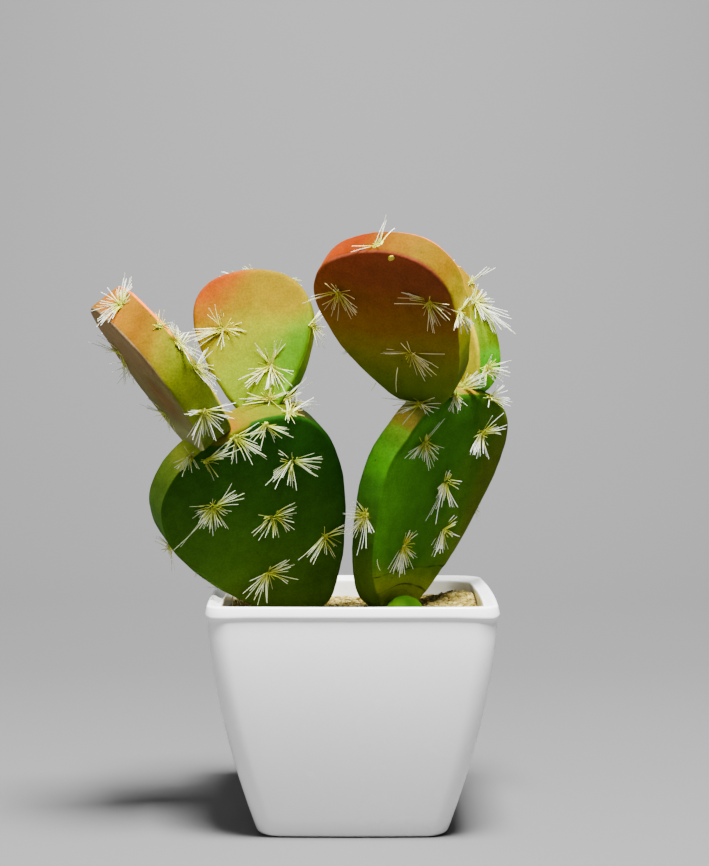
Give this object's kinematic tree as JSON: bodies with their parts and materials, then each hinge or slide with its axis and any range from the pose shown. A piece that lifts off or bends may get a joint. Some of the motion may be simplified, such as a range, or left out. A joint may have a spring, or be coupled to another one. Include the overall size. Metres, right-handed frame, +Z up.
{
  "type": "potted cactus",
  "caption": "Artificial prickly pear of flat round pads with bristle tufts, rising from sandy filler in a small square tapered white pot",
  "frame": {"origin": "Centre of the pot's flat foot, on the surface that it stands on. The pads overhang the pot to the left, so it isn't the middle of the whole box.", "axes": "+Z up, +Y to the back as the picture shows it, +X to the right. The height along Z is the longest extent."},
  "size_m": [0.1178, 0.0915, 0.1665],
  "materials": {
    "pot_plastic": "gloss",
    "sandy_filler": "matte",
    "dark_green_pad": "matte",
    "orange_olive_pad": "matte",
    "yellow_pad": "matte",
    "green_pad": "matte",
    "red_brown_pad": "matte",
    "lime_pad": "matte",
    "bright_green_bud": "matte"
  },
  "bodies": {
    "root": {"pot": "pot_plastic", "filler": "sandy_filler", "left_base_pad": "dark_green_pad", "left_side_pad": "orange_olive_pad", "centre_top_pad": "yellow_pad", "right_base_pad": "green_pad", "right_front_pad": "red_brown_pad", "right_rear_pad": "lime_pad", "base_bud": "bright_green_bud"}
  },
  "joints": []
}
